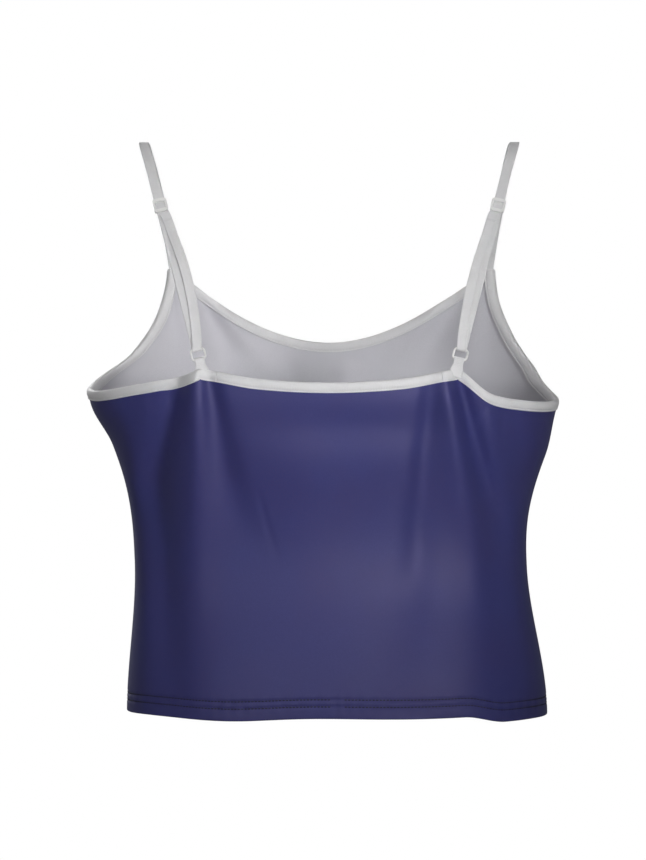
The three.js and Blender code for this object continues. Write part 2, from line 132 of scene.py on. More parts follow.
class CheerTopCloth(bpy.types.PropertyGroup):
    """Layers, edges, webbing and fittings."""

    shell: length("Shell thickness", "Thickness of the outer knit", 0.7)
    lining: length("Lining thickness", "Thickness of the inner layer", 0.5)
    gap: length("Layer gap", "Room between two layers", 0.3)
    hem_fold: length("Hem fold", "Height of the folded hem", 15.2)
    hem_row_low: length("Lower hem row", "Hem edge to the lower stitch row", 8.4)
    hem_row_high: length("Upper hem row", "Hem edge to the upper stitch row", 13.2)
    binding: length("Binding height", "Height of the folded binding", 6.2)
    strap_width: length("Strap width", "Width of the webbing", 7)
    strap_thick: length("Strap thickness", "Thickness of the webbing", 0.8)
    tail_bow_left: length("Left tail bow", "How far the left turned-back strand stands beside the other", 5.6)
    tail_bow_right: length("Right tail bow", "How far the right turned-back strand stands aside", 4.2)
    ring_height: length("Ring height", "Between the centre lines of the ring's level bars", 8.1)
    ring_wire: length("Ring wire", "Radius of the ring's wire", 0.75)
    ring_corner: length("Ring corner", "Corner radius of the ring's centre line", 2.3)


class CheerTopColours(bpy.types.PropertyGroup):
    """Finishes of the cloth and fittings."""

    shell: colour("Shell", "Outer knit", (0.040, 0.044, 0.172))
    # Shell warm is a darker, warmer tone that the knit finish mixes in as large random patches; it does not
    # follow the hollows.
    shell_warm: colour("Shell warm", "Tint of the knit in its hollows", (0.044, 0.040, 0.148))
    # The lining tone is partly its own pale colour and partly painted shade: it is darker and bluer than the
    # white cloth to stand for the dimmer light inside the top.
    lining: colour("Lining", "Inner layer", (0.62, 0.612, 0.65))
    white: colour("White cloth", "Binding, tabs and webbing", (0.74, 0.735, 0.745))
    elastic: colour("Elastic", "Elastic inside the bindings", (0.66, 0.66, 0.60))
    plastic: colour("Plastic", "Rings and sliders", (0.86, 0.86, 0.85))
    thread: colour("Dark thread", "Hem stitches", (0.010, 0.010, 0.040))
    floor: colour("Floor", "Studio floor", (0.93, 0.93, 0.93))


# ---------------------------------------------------------------- the worn form


def ease(value, low, high):
    """0 below low, 1 above high and smooth between them."""
    share = np.clip((np.asarray(value, float) - low) / (high - low), 0, 1)
    return share * share * (3 - 2 * share)


def ramp(value, low, high):
    """The same between two limits in millimetres."""
    return ease(value, low * MM, high * MM)


def climb(z, *levels):
    """A size that eases from level to level, each a height and the size there."""
    total = levels[0][1]
    for (low, before), (high, after) in zip(levels, levels[1:]):
        total = total + (after - before) * ease(z, low, high)
    return total


def run_along(points):
    """The distance covered at each point of a line."""
    steps = np.linalg.norm(np.diff(points, axis=0), axis=1)
    return np.concatenate([[0], np.cumsum(steps)])


# How the hanging top departs from an even one.
SIDE_SAG = 1.6 * MM
HEM_SAG, HEM_WAVE, HEM_WAVE_REACH = 1.0 * MM, 0.7 * MM, 31 * MM
HEM_DIP, HEM_DIP_PLACE, HEM_DIP_REACH = 3.0 * MM, 74 * MM, 42 * MM
BACK_EDGE_LIFT, TAB_LIFT = 1.2 * MM, 1.5 * MM
ARM_SHIFT, LEFT_ARM_SHIFT = 3.2 * MM, 2.4 * MM
FRONT_EDGE_SHIFT, PEAK_SHIFT = 2.2 * MM, 1.4 * MM

# The small ripples that sewing leaves in the hem.
RIPPLE, RIPPLE_PITCH, RIPPLE_WANDER = 0.28 * MM, 1.9 * MM, 23 * MM
RIPPLE_HEIGHT, RIPPLE_REACH = 10 * MM, 6 * MM

# Soft folds: start and end across and up (mm), half width at each end (mm) and height (mm, negative sinks).
BACK_FOLDS = (
    (103, 236, 136, 115, 6, 14, -7.0),
    (91, 236, 96, 70, 7, 16, 5.6),
    (84, 236, 62, 120, 5, 15, -4.4),
    (120, 170, 116, -20, 9, 14, -4.6),
    (142, 205, 138, 40, 7, 12, 2.0),
    (-86, 236, -128, 108, 6, 13, -7.5),
    (-81, 236, -106, 75, 6, 15, 5.4),
    (-70, 225, -56, 50, 6, 14, -4.6),
    (-124, 226, -142, 150, 9, 15, -3.2),
    (-112, 120, -122, -10, 9, 14, -1.6),
    (-75, 199, 70, 199, 14, 14, -1.8),
    (48, 152, 36, 104, 2, 3, -0.5),
    (22, 190, 6, 10, 24, 36, 1.8),
    (-48, 95, -26, -10, 14, 22, -1.5),
    (111, 224, 106, 202, 1.8, 3.5, -1.0),
    (123, 221, 119, 202, 1.8, 3.5, -0.9),
    (137, 218, 134, 203, 1.8, 3.5, -0.8),
    (-109, 219, -104, 198, 1.8, 3.5, -1.0),
    (-123, 213, -119, 196, 1.8, 3.5, -0.8),
)
FRONT_FOLDS = (
    (112, 306, 96, 232, 5, 14, -5.8),
    (100, 300, 70, 236, 6, 13, 5.1),
    (84, 292, 44, 246, 5, 11, -4.3),
    (-112, 306, -98, 232, 5, 14, -5.1),
    (-100, 300, -66, 238, 6, 13, 4.7),
    (-82, 290, -40, 246, 5, 11, -3.4),
    (30, 250, 22, 205, 8, 14, 2.7),
    (-14, 248, -8, 205, 8, 12, -2.4),
    (78, 170, 92, 70, 8, 18, 4.3),
    (-78, 170, -90, 66, 8, 18, 3.9),
    (112, 165, 128, 90, 7, 13, -3.9),
    (-114, 165, -126, 90, 7, 13, -3.4),
    (24, 160, 34, 40, 10, 20, -2.5),
    (-30, 165, -24, 40, 10, 20, -3),
)


# Shares of a fold's run over which it rises and dies away.
FOLD_START, FOLD_END = (-0.15, 0.15), (0.5, 1.15)


def fold_height(x, z, folds):
    """Height of the soft folds over the section at a place across and up."""
    total = np.zeros(np.broadcast(x, z).shape)
    for x0, z0, x1, z1, near, far, height in folds:
        start, run = np.array([x0, z0]) * MM, np.array([x1 - x0, z1 - z0]) * MM
        reach = math.hypot(*run)
        share = ((x - start[0]) * run[0] + (z - start[1]) * run[1]) / reach**2
        off = ((x - start[0]) * run[1] - (z - start[1]) * run[0]) / reach
        wide = (near + (far - near) * np.clip(share, 0, 1)) * MM
        fade = ease(share, *FOLD_START) * (1 - ease(share, *FOLD_END))
        total += height * MM * fade * np.exp(-((off / wide) ** 2))
    return total


class Worn:
    """Places on the worn form. Girth runs from the side seam, positive to the front."""

    def __init__(self, form):
        self.form = form
        self.tables = {
            True: self.girth_table(form.neck_front_depth),
            False: self.girth_table(form.chest_back_depth),
        }

    def girth_table(self, depth):
        angles = np.linspace(0, math.pi / 2, 1200)
        x, y = self.section(angles, self.form.chest_half_width, depth)
        steps = np.hypot(np.diff(x), np.diff(y))
        return angles, np.concatenate([[0], np.cumsum(steps)])

    def section(self, angles, half_width, depth):
        power = 2 / self.form.roundness
        cosine, sine = np.clip(np.cos(angles), 0, 1), np.clip(np.sin(angles), 0, 1)
        return half_width * cosine**power, depth * sine**power

    def total(self, front):
        return self.tables[front][1][-1]

    def girth_at(self, x, front):
        angles, girths = self.tables[front]
        share = np.asarray(x, float) / self.form.chest_half_width
        return np.interp(np.arccos(share ** (self.form.roundness / 2)), angles, girths)

    def half_width(self, z):
        form = self.form
        lower = climb(z, (0, form.hem_half_width), (form.waist_height, form.waist_half_width))
        share = np.clip((z - form.waist_height) / (form.chest_height - form.waist_height), 0, 1)
        flare = ease(share**form.chest_flare, 0, 1)
        return lower + (form.chest_half_width - form.waist_half_width) * flare

    def depth(self, z, front):
        form = self.form
        if front:
            return climb(
                z,
                (0, form.hem_front_depth),
                (form.waist_height, form.waist_front_depth),
                (form.bust_height, form.bust_front_depth),
                (form.front_neck_height, form.neck_front_depth),
            )
        return climb(
            z,
            (0, form.hem_back_depth),
            (form.waist_height, form.waist_back_depth),
            (form.chest_height, form.chest_back_depth),
        )

    def half(self, front, side, girth, z, inset):
        """Points of the front or the back half. Side is 1 on the left and -1 on the right."""
        form = self.form
        angles, girths = self.tables[front]
        angle = np.interp(np.abs(girth), girths, angles)
        x, y = self.section(angle, self.half_width(z) - inset, self.depth(z, front) - inset)
        folds = FRONT_FOLDS if front else BACK_FOLDS
        rise = fold_height(side * x, z, folds) * ramp(np.abs(girth), 0, 30)
        ripple = np.sin(side * girth / RIPPLE_PITCH + 2.5 * np.sin(girth / RIPPLE_WANDER))
        rise = rise + RIPPLE * ripple * np.exp(-(((z - RIPPLE_HEIGHT) / RIPPLE_REACH) ** 2))
        if front:
            bust = ((x - form.bust_half_spacing) / form.bust_spread) ** 2
            bust = bust + ((z - form.bust_height) / form.bust_spread) ** 2
            rise = rise + form.bust_fullness * np.exp(-bust) * ease(np.abs(girth), 0, form.bust_spread)
        y = y + rise
        return np.stack([side * x, -y if front else y, z + 0 * x], -1)

    def at(self, side, girth, z, inset):
        """Points of the settled top at arrays of side, girth, height and depth into the cloth."""
        side, girth, z, inset = np.broadcast_arrays(side, girth, z, inset)
        ahead, behind = (self.half(front, side, girth, z, inset) for front in (True, False))
        return self.settle(np.where((girth > 0)[..., None], ahead, behind))

    def settle(self, points):
        """The small drift and tilt of a top that hangs on a body."""
        form = self.form
        x, z = points[..., 0].copy(), points[..., 2].copy()
        wide, left = np.abs(x), ramp(x, 0, 20)
        tilt = form.askew * (ramp(wide, 88, 118) - 0.3 * ramp(wide, 125, 165))
        tilt = tilt * (1 - left * (1 - ramp(z, 40, 190)))
        below_peaks = 1 - ramp(z, 240, 300)
        points[..., 2] += (np.sign(x) * tilt - SIDE_SAG * ramp(wide, 130, 165)) * below_peaks
        dip = HEM_DIP * np.exp(-(((x - HEM_DIP_PLACE) / HEM_DIP_REACH) ** 2))
        hem = HEM_WAVE * np.sin(x / HEM_WAVE_REACH) - HEM_SAG - dip
        points[..., 2] += hem * (1 - ramp(z, 0, 70))
        back_edge = ramp(z, 150, 215) * (points[..., 1] > 0) * (1 - ramp(wide, 92, 112))
        points[..., 2] += back_edge * (BACK_EDGE_LIFT + TAB_LIFT * ramp(wide, 50, 80))
        arm = ramp(wide, 90, 160) * ramp(z, 185, 215) * (1 - ramp(z, 230, 252))
        points[..., 0] += (ARM_SHIFT + LEFT_ARM_SHIFT * left) * arm - form.drift * (1 - ramp(z, 0, 150))
        front_edge = ramp(z, 236, 252) * ramp(wide, 70, 110) * (1 - left * ramp(z, 262, 300))
        points[..., 0] -= FRONT_EDGE_SHIFT * front_edge + PEAK_SHIFT * ramp(z, 290, 312) * (1 - left)
        return points

    # Raw edges of one side: arrays of girth and height.

    def front_neck(self, count):
        form = self.form
        x = np.linspace(0, form.peak_inner, count)
        z = form.front_neck_height + form.front_neck_rise * (x / form.front_neck_reference) ** form.neck_curve
        return np.stack([self.girth_at(x, True), z], -1)

    def front_peak(self, count):
        start = self.front_neck(2)[-1]
        end = np.array([self.girth_at(self.form.peak_outer, True), self.form.peak_height])
        return start + (end - start) * np.linspace(0, 1, count)[:, None]

    def front_armhole(self, count):
        form = self.form
        top = self.girth_at(form.peak_outer, True)
        lean, drop = 1.6 * MM, 32 * MM
        scoop, lift = 72 * MM, 6 * MM
        return bezier(
            (top, form.peak_height),
            (top - lean, form.peak_height - drop),
            (scoop, form.underarm_height + lift),
            (0, form.underarm_height),
            count=count,
        )

    def back_neck(self, count, low=0.0, high=None):
        form = self.form
        x = np.linspace(low, form.tab_place if high is None else high, count)
        z = form.back_neck_height + form.back_neck_rise * (x / form.tab_place) ** form.neck_curve
        return np.stack([self.girth_at(x, False), z], -1)

    def back_armhole(self, count):
        form = self.form
        girth, top = self.back_neck(2)[-1]
        lean, drop = girth * 0.14, 12 * MM
        scoop, dip = 60 * MM, 9 * MM
        return bezier(
            (girth, top),
            (girth - lean, top - drop),
            (scoop, form.underarm_height - dip),
            (0, form.underarm_height),
            count=count,
        )


def bezier(*points, count):
    share = np.linspace(0, 1, count)[:, None]
    a, b, c, d = (np.array(point, float) for point in points)
    rest = 1 - share
    return rest**3 * a + 3 * rest**2 * share * b + 3 * rest * share**2 * c + share**3 * d


# ---------------------------------------------------------------- mesh helpers


def add_object(name, points, faces, finish, uv=None, sharp=50):
    """A smooth object at the origin, with its place in its mesh."""
    mesh = bpy.data.meshes.new(name)
    mesh.from_pydata([tuple(point) for point in points], [], faces)
    mesh.validate()
    piece = bpy.data.objects.new(name, mesh)
    bpy.context.scene.collection.objects.link(piece)
    mesh.materials.append(material_named(finish))
    if uv is not None:
        layer = mesh.uv_layers.new(name=SHELL_MAP)
        corners = np.zeros(len(mesh.loops), np.int32)
        mesh.loops.foreach_get("vertex_index", corners)
        layer.data.foreach_set("uv", np.asarray(uv, np.float32)[corners].ravel())
    select_only(piece)
    bpy.ops.object.mode_set(mode="EDIT")
    bpy.ops.mesh.select_all(action="SELECT")
    bpy.ops.mesh.normals_make_consistent(inside=False)
    bpy.ops.object.mode_set(mode="OBJECT")
    bpy.ops.object.shade_smooth_by_angle(angle=math.radians(sharp))
    return piece


def select_only(piece):
    if bpy.context.object and bpy.context.object.mode != "OBJECT":
        bpy.ops.object.mode_set(mode="OBJECT")
    bpy.ops.object.select_all(action="DESELECT")
    piece.select_set(True)
    bpy.context.view_layer.objects.active = piece


def loft(name, sections, finish, maps, sharp=60):
    """A closed skin through sections, an array of stations by points by three, with its flat coordinates."""
    stations, ring = sections.shape[:2]
    faces = []
    for near in range(0, (stations - 1) * ring, ring):
        far = near + ring
        for j in range(ring):
            k = (j + 1) % ring
            faces.append((near + j, far + j, far + k, near + k))
    last = (stations - 1) * ring
    for j in range(ring // 2 - 1):
        a, b, c, d = j, j + 1, ring - 2 - j, ring - 1 - j
        faces.append((a, b, c, d))
        faces.append((last + d, last + c, last + b, last + a))
    return add_object(name, sections.reshape(-1, 3), faces, finish, maps.reshape(-1, 2), sharp)


def finish_piece(piece, body, slot, *nodes):
    if body:
        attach(piece, body)
    if nodes:
        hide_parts(*nodes)


def unit(vectors):
    vectors = np.asarray(vectors, float)
    return vectors / np.linalg.norm(vectors, axis=-1, keepdims=True)


# ---------------------------------------------------------------- panels


SEAM_GAP = 0.03 * MM


def panel_columns(worn, front):
    """Stations of a whole panel, from the left side seam to the right one, as side, girth and top."""
    if front:
        pieces = [worn.front_armhole(52)[::-1], worn.front_peak(4)[::-1], worn.front_neck(34)[::-1]]
    else:
        pieces = [worn.back_armhole(56)[::-1], worn.back_neck(56)[::-1]]
    half = np.concatenate([pieces[0]] + [piece[1:] for piece in pieces[1:]])
    half[0, 0] = SEAM_GAP
    sign = 1 if front else -1
    left = np.column_stack([np.ones(len(half)), sign * half[:, 0], half[:, 1]])
    right = left[::-1][1:].copy()
    right[:, 0] = -1
    return np.concatenate([left, right])


def panel_sheet(name, worn, front, rows, finish):
    """A panel as one closed skin. Rows gives the heights and the depths of both faces below a top."""
    sections, maps = [], []
    for side, girth, top in panel_columns(worn, front):
        heights, outer, inner = rows(top)
        out = worn.at(side, girth, heights, outer)
        back = worn.at(side, girth, heights, inner)
        across = side * (worn.total(front) - abs(girth))
        flat = np.column_stack([np.full(len(heights), across), run_along(out)])
        sections.append(np.concatenate([out, back[::-1]]))
        maps.append(np.concatenate([flat, flat[::-1]]))
    return loft(name, np.array(sections), finish, np.array(maps), sharp=40)


def shell_rows(cloth):
    """Rows of a shell panel: up the folded hem allowance on the inside, round the edge and up the outside."""

    thick = cloth.shell
    slack, turn_height, flat_top = 0.1 * MM, 0.9 * MM, 18 * MM
    inside = thick + 2 * cloth.gap + cloth.lining + slack
    fold_z = np.array([cloth.hem_fold, 12 * MM, 8 * MM, 4 * MM, 1.2 * MM])
    turn = np.linspace(0, math.pi, 7)[1:-1]
    turn_in = inside / 2 + slack + inside / 2 * np.cos(turn)
    thread_sink, thread_reach = 0.5 * MM, 1.2 * MM

    def rows(top):
        body_z = np.concatenate([np.linspace(fold_z[-1], flat_top, 22), np.linspace(flat_top, top, 84)[1:]])
        dimple = sum(
            thread_sink * np.exp(-(((body_z - row) / thread_reach) ** 2))
            for row in (cloth.hem_row_low, cloth.hem_row_high)
        )
        heights = np.concatenate([fold_z, turn_height * (1 - np.sin(turn)), body_z])
        outer = [np.full(len(fold_z), inside + thick), turn_in + thick * np.cos(turn) * 0.2, dimple]
        inner = [np.full(len(fold_z), inside), turn_in - thick * np.cos(turn) * 0.8, dimple + thick]
        return heights, np.concatenate(outer), np.concatenate(inner)

    return rows


def lining_rows(cloth):
    """Rows of an inner layer, from just above the folded hem."""

    def rows(top):
        heights = np.linspace(cloth.hem_fold + 1 * MM, top, 84)
        face = cloth.shell + cloth.gap
        return heights, np.full(len(heights), face), np.full(len(heights), face + cloth.lining)

    return rows


# ---------------------------------------------------------------- edges


def edge_frames(edge, mirror_start=False):
    """The unit direction into the panel at each point of a raw edge."""
    mirrored = edge[1] * (-1, 1) + (2 * edge[0][0], 0)
    before = np.vstack([mirrored if mirror_start else edge[0], edge[:-1]])
    after = np.vstack([edge[1:], edge[-1]])
    along = unit(after - before)
    return np.column_stack([-along[:, 1], along[:, 0]])


# The face of the band from its free edge up to the raw edge: millimetres up and past its reach.
BAND_FACE = (
    (0, -0.35), (0.15, 0.05), (0.55, 0.1),
    (0.95, -0.12), (1.25, -0.18),
    (1.6, 0.1), (2.6, 0.3), (4, 0.34), (5.2, 0.2),
)
BAND_EXCESS = 0.55 * MM
BAND_MIDDLE = 2.6 * MM


def binding_outline(cloth):
    """The folded band's section, as distance in from the raw edge and depth into the cloth.

    Its middle depth and the reach of its faces from there come with it.
    """
    middle = (cloth.shell + cloth.lining + 0.6 * MM + 3 * cloth.gap) / 2
    reach = middle + cloth.gap + BAND_EXCESS
    low = cloth.binding
    band = [(low - up * MM, reach + past * MM) for up, past in BAND_FACE]
    band.append((0.15 * MM, reach - 0.1 * MM))
    for angle in (1.15, 0.8, 0.45, 0.15):
        beyond = 0.2 * MM + 0.95 * MM * math.cos(angle)
        band.append((-beyond, (reach - 0.2 * MM) * math.sin(angle)))
    face = middle + 0.15 * MM
    cavity = [(low + (0.2 * MM - low) * share, face) for share in np.linspace(0, 1, len(band))]
    outer, inner = (
        [(into, middle - out) for into, out in line] + [(into, middle + out) for into, out in line[::-1]]
        for line in (band, cavity)
    )
    return np.array(outer + inner[::-1]), middle, reach


def edge_piece(name, worn, path, outline, finish, taper, middle):
    """An outline swept along an edge, squeezed about its middle depth by the taper at each station."""
    sections, maps = [], []
    run, around = run_along(path[:, 1:3]), run_along(outline)
    for (side, girth, z, *inward), distance, squeeze in zip(path, run, taper):
        depth = middle + (outline[:, 1] - middle) * squeeze
        into = BAND_MIDDLE + (outline[:, 0] - BAND_MIDDLE) * (1 - 0.35 * max(0.8 - squeeze, 0))
        sections.append(worn.at(side, girth + inward[0] * into, z + inward[1] * into, depth))
        maps.append(np.column_stack([np.full(len(around), distance), around]))
    return loft(name, np.array(sections), finish, np.array(maps))


def neck_path(worn, front):
    """A whole neck edge from left to right: side, girth, height and the way into the panel."""
    edge = worn.front_neck(60) if front else worn.back_neck(50, 0, worn.form.binding_join)
    sign = 1 if front else -1
    edge = edge * (sign, 1)
    inward = edge_frames(edge, mirror_start=True)
    inward *= -np.sign(inward[:, 1:])
    left = np.column_stack([np.ones(len(edge)), edge, inward])[::-1]
    right = left[::-1][1:].copy()
    right[:, 0] = -1
    return np.concatenate([left, right])


# How the armhole band closes above the front peak: the rise of each last station and its taper.
PEAK_END_RISES = (0.9 * MM, 1.7 * MM, 2.3 * MM, 2.6 * MM)
PEAK_END_TAPERS = (0.94, 0.78, 0.5, 0.12)


def edge_taper(worn, place, path):
    """How much the band narrows along an edge: under the peaks, at the joins and at its closed end."""
    taper = np.ones(len(path))
    if place == "front_neck":
        taper = 1 - 0.2 * ramp(path[:, 2], 303, 312)
    elif place == "back_neck":
        taper = 1 - 0.12 * ramp(worn.total(False) - np.abs(path[:, 1]), 75, 79)
    else:
        taper[-len(PEAK_END_TAPERS):] = PEAK_END_TAPERS
    return taper


def armhole_path(worn, side):
    """From the join in the back binding, past the tab, under the arm and up to the front peak."""
    form = worn.form
    neck = worn.back_neck(8, form.binding_join + 0.2 * MM, form.tab_place) * (-1, 1)
    back = np.concatenate([neck, worn.back_armhole(60)[1:] * (-1, 1)])
    edge = np.concatenate([back, worn.front_armhole(70)[::-1][1:]])
    inward = -edge_frames(edge)
    for _ in range(6):
        inward[1:-1] = unit(inward[:-2] + 2 * inward[1:-1] + inward[2:])
    beyond = edge[-1] + np.array([(0, rise) for rise in PEAK_END_RISES])
    edge, inward = np.concatenate([edge, beyond]), np.concatenate([inward, [inward[-1]] * len(beyond)])
    return np.column_stack([np.full(len(edge), side), edge, inward])


# ---------------------------------------------------------------- straps


PEAK_SEAT_PLACE, PEAK_SEAT_RISE, PEAK_SEAT_DEPTH = 117 * MM, 4.1 * MM, 0.75 * MM


class StrapPlan:
    """Where one strap and its fittings lie, read from the frame's joints and boxes."""

    def __init__(self, name, side, worn, cloth):
        slide, pivot = JOINTS[name + "_slider_slide"], JOINTS[name + "_ring_pivot"]
        self.name, self.side, self.cloth = name, side, cloth
        self.along = unit(slide["axis"])
        self.across = unit(pivot["axis"])
        self.out = np.cross(self.along, self.across)
        self.lower_bar = np.array(pivot["pos_m"])
        self.upper_bar = self.lower_bar + self.along * cloth.ring_height
        self.tab_base = np.array(JOINTS[name + "_strap_swing"]["pos_m"])
        low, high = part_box(name + "_slider")
        self.slider = np.array((low + high) / 2)
        low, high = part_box(name + "_strap")
        self.top = high.z - cloth.strap_thick / 2
        self.outer = side * max(abs(low.x), abs(high.x)) - side * cloth.strap_width / 2
        form = worn.form
        girth = worn.girth_at(PEAK_SEAT_PLACE, True)
        seat = worn.half(True, float(side), girth, form.peak_height + PEAK_SEAT_RISE, PEAK_SEAT_DEPTH)
        self.peak_seat = worn.settle(seat[None])[0]
        self.turn = cloth.ring_wire + 0.2 * MM + cloth.strap_thick / 2
        self.body = name + "_strap_assembly"
        self.ring_body = name + "_ring_body"
        self.slider_body = name + "_slider_body"


def strap_line(plan):
    """Centre line of the strap from its root in the front peak to just above the ring."""
    seat, top, along = plan.peak_seat, plan.top, plan.along
    front_up = unit([plan.side * 4, 5, 31])
    flat, rise, round_off = 6 * MM, 34 * MM, 16 * MM
    root = [seat - front_up * drop * MM for drop in (9, 6, 3)]
    ahead, behind = (plan.outer, -flat, top), (plan.outer, flat, top)
    front = bezier(seat, seat + front_up * rise, (plan.outer, -flat - rise, top), ahead, count=44)
    straight_top = plan.slider + along * 25 * MM
    into_top = straight_top + along * 13 * MM
    shoulder = bezier(behind, (plan.outer, flat + round_off, top), into_top, straight_top, count=22)
    end = plan.upper_bar + along * 13.5 * MM
    straight = straight_top + (end - straight_top) * np.linspace(0, 1, 30)[1:, None]
    return np.concatenate([root, front, shoulder, straight])


def ribbon_outline(cloth):
    """The webbing's section, across and out, with a low bead along each edge."""
    half, thick = cloth.strap_width / 2, cloth.strap_thick / 2
    bead = [(0, 0.35), (0.25 * MM, 1.0), (0.7 * MM, 1.12), (1.1 * MM, 0.86), (0.65 * half, 0.9)]
    top = [(into - half, share * thick) for into, share in bead]
    top += [(-x, out) for x, out in top[::-1]]
    return np.array(top + [(x, -out) for x, out in top[::-1]])


def ribbon(name, line, across, out, outline, finish, wide=1.0, thick=1.0):
    """Webbing along a line, with a frame and a scale across and out at each point."""
    scale = np.stack(np.broadcast_arrays(wide, thick, line[:, 0])[:2], -1)
    shape = outline[None] * scale[:, None]
    across, out = np.broadcast_to(across, line.shape), np.broadcast_to(out, line.shape)
    sections = line[:, None] + across[:, None] * shape[..., :1] + out[:, None] * shape[..., 1:]
    maps = np.stack(np.broadcast_arrays(run_along(line)[:, None], outline[None, :, 0]), -1)
    return loft(name, sections, finish, maps)


def line_frames(line):
    """The directions across and out of a strap, level across at each point of its line."""
    along = unit(np.gradient(line, axis=0))
    across = unit(np.array([1.0, 0, 0]) - along * along[:, :1])
    return across, np.cross(along, across)


def tail_line(plan, share):
    """Centre line of the turned-back strand at shares of the way from the ring to the slider."""
    cloth = plan.cloth
    bow = cloth.tail_bow_left if plan.side > 0 else cloth.tail_bow_right
    layer, stop, tuck = cloth.strap_thick + 0.25 * MM, 6.2 * MM, 1.2 * MM
    reach = np.linalg.norm(plan.slider - plan.upper_bar) - stop
    outward = plan.turn + (layer - plan.turn) * ease(share, 0, 0.2)
    aside = bow * np.sin(math.pi * np.clip(share, 0, 1)) ** 0.8 + tuck * ease(share, 0.8, 1)
    steps = np.stack([share * reach, outward, -plan.side * aside], -1)
    return plan.upper_bar + steps @ np.array([plan.along, plan.out, plan.across])


def loop_line(plan):
    """Centre line and outward directions of the turn round the ring's upper bar."""
    share = np.linspace(0, 1, 10)[:, None]
    back = plan.upper_bar + plan.along * 14 * MM * (1 - share) - plan.out * plan.turn * ease(share, 0, 1)
    angle = np.linspace(0, math.pi, 15)[1:, None]
    inward = plan.out * np.cos(angle) + plan.along * np.sin(angle)
    front = tail_line(plan, np.linspace(0.012, 0.13, 8))
    points = np.concatenate([back, plan.upper_bar - inward * plan.turn, front])
    return points, np.concatenate([[plan.out] * len(back), inward, [-plan.out] * len(front)])


# ---------------------------------------------------------------- stitches


def stitch_template():
    """One plump stitch as a small faceted grain, one metre long, wide and high before it is scaled."""
    bpy.ops.object.select_all(action="DESELECT")
    bpy.ops.mesh.primitive_uv_sphere_add(segments=6, ring_count=5, radius=0.5)
    grain = bpy.context.object
    points = np.array([vertex.co for vertex in grain.data.vertices])
    faces = [tuple(face.vertices) for face in grain.data.polygons]
    bpy.data.objects.remove(grain)
    return points, faces


def stitches(name, centres, along, out, size, finish):
    """A row of stitches. Size is length, width and height in mm; the grain's Z runs along the row."""
    long, wide, high = (measure * MM for measure in size)
    along, out = (np.broadcast_to(unit(way), np.shape(centres)) for way in (along, out))
    points, faces = stitch_template()
    all_points, all_faces = [], []
    for centre, direction, face_out in zip(centres, along, out):
        sideways = np.cross(direction, face_out)
        basis = np.array([sideways * wide, face_out * high, direction * long])
        base = len(all_points) * len(points)
        all_points.append(centre + points @ basis)
        all_faces.extend(tuple(base + index for index in face) for face in faces)
    return add_object(name, np.concatenate(all_points), all_faces, finish)


def row_points(worn, front, height, pitch, lift):
    """Stitch centres round one panel at a height."""
    margin, step = 2 * MM, 0.5 * MM
    count = int((worn.total(front) - 2 * margin) / pitch)
    girth = (margin + pitch * np.arange(count)) * (1 if front else -1)
    rows = []
    for side in (1, -1):
        here = worn.at(side, girth, height, lift)
        ahead = worn.at(side, girth + step, height, lift)
        inner = worn.at(side, girth, height, lift + step)
        rows.append((here, ahead - here, here - inner))
    return join_rows(rows)


def join_rows(rows):
    """Rows of stitch centres, directions and outward directions as one row."""
    return [np.concatenate(part) for part in zip(*rows)]


def edge_row(worn, path, into, depth, pitch):
    """Stitch centres along an edge at a distance into the panel."""
    places = [path[:, 0], path[:, 1] + path[:, 3] * into, path[:, 2] + path[:, 4] * into]
    points = worn.at(*places, depth)
    run = run_along(points)
    where = np.arange(pitch, run[-1] - pitch, pitch)
    places = [np.interp(where, run, values) for values in places]
    places[0] = np.sign(places[0] + 1e-9)
    here = worn.at(*places, depth)
    inner = worn.at(*places, depth + 0.5 * MM)
    before, after = (
        np.stack([np.interp(where + share * pitch, run, axis) for axis in points.T], -1)
        for share in (-0.4, 0.4)
    )
    return here, after - before, here - inner


# ---------------------------------------------------------------- materials


class Value:
    """A number or colour in a node tree that takes part in arithmetic."""

    def __init__(self, tree, socket):
        self.tree, self.socket = tree, socket

    def node(self, kind, inputs, output=0, **settings):
        """A node of any kind, with its inputs by name or position and its settings."""
        node = self.tree.nodes.new(kind)
        for key, value in settings.items():
            setattr(node, key, value)
        for key, value in inputs.items():
            if isinstance(value, Value):
                self.tree.links.new(value.socket, node.inputs[key])
            else:
                node.inputs[key].default_value = value
        return Value(self.tree, node.outputs[output])

    def maths(self, operation, *values):
        return self.node("ShaderNodeMath", dict(enumerate((self, *values))), operation=operation)

    def __add__(self, other):
        return self.maths("ADD", other)

    def __mul__(self, other):
        return self.maths("MULTIPLY", other)

    __radd__, __rmul__ = __add__, __mul__

    def sine(self):
        return self.maths("SINE")

    def between(self, low, high):
        """The value eased from 0 at low to 1 at high."""
        inputs = {"Value": self, "From Min": low, "From Max": high}
        return self.node("ShaderNodeMapRange", inputs, interpolation_type="SMOOTHSTEP")

    def blend(self, first, second):
        """A colour between two, by this share."""
        inputs = {0: self, 6: first, 7: second}
        return self.node("ShaderNodeMix", inputs, output=2, data_type="RGBA")


def object_places(tree):
    """Object coordinates in metres."""
    return Value(tree, None).node("ShaderNodeTexCoord", {}, output=3)


def cloth_places(tree):
    """The cloth's own flat coordinates in metres, across and along."""
    flat = Value(tree, None).node("ShaderNodeUVMap", {}, uv_map=SHELL_MAP)
    across = flat.node("ShaderNodeSeparateXYZ", {0: flat})
    return across, Value(tree, across.socket.node.outputs[1])


def new_material(name):
    material = bpy.data.materials.new("finish_" + name)
    material.use_nodes = True
    tree = material.node_tree
    return material, tree, tree.nodes["Principled BSDF"]


def give(tree, value, socket):
    tree.links.new(value.socket, socket)


def noise(places, scale, detail=2.0):
    return places.node("ShaderNodeTexNoise", {"Vector": places, "Scale": scale, "Detail": detail})


